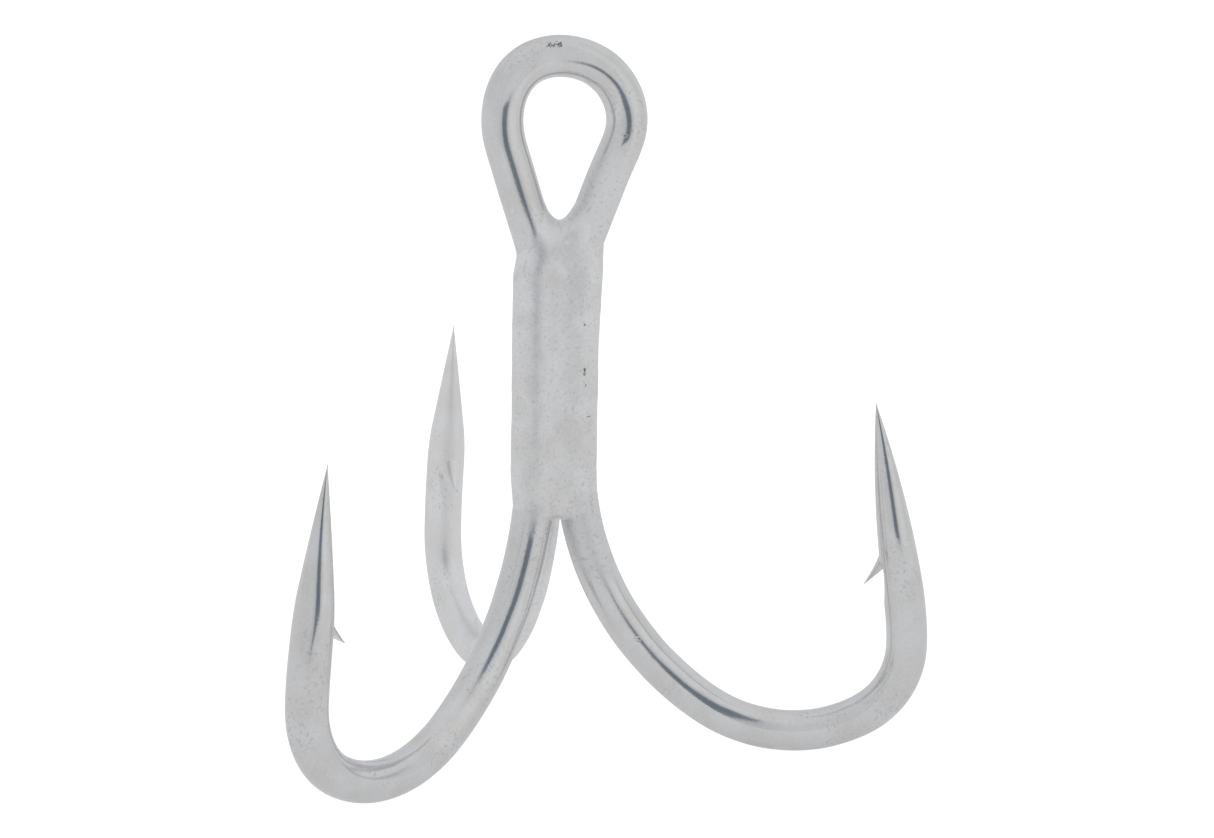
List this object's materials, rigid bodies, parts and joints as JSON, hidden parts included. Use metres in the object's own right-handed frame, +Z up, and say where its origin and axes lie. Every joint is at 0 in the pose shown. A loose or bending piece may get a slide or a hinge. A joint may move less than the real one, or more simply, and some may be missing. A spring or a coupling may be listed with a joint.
{
  "type": "treble hook",
  "caption": "Treble fishing hook with a teardrop line eye: a double hook and a single hook brazed along their shanks, with rounded bends, tapered points and cut barbs.",
  "frame": {"origin": "centre of the eye's ring, in the plane that holds the eye and the two front shanks", "axes": "+Z runs up the shanks towards the eye, +X lies in the plane of the eye with the right front hook on that side, and +Y is the axis of the eye, pointing to the single hook behind"},
  "size_m": [0.0487, 0.0434, 0.0525],
  "materials": {
    "plated_wire": "bright satin tin plating with a fine grain and faint drawing marks",
    "plated_braze": "satin plating over brazing metal, softly uneven with a few pits"
  },
  "bodies": {
    "root": {"double_hook": "plated_wire", "single_hook": "plated_wire", "braze_joint": "plated_braze"}
  },
  "joints": []
}
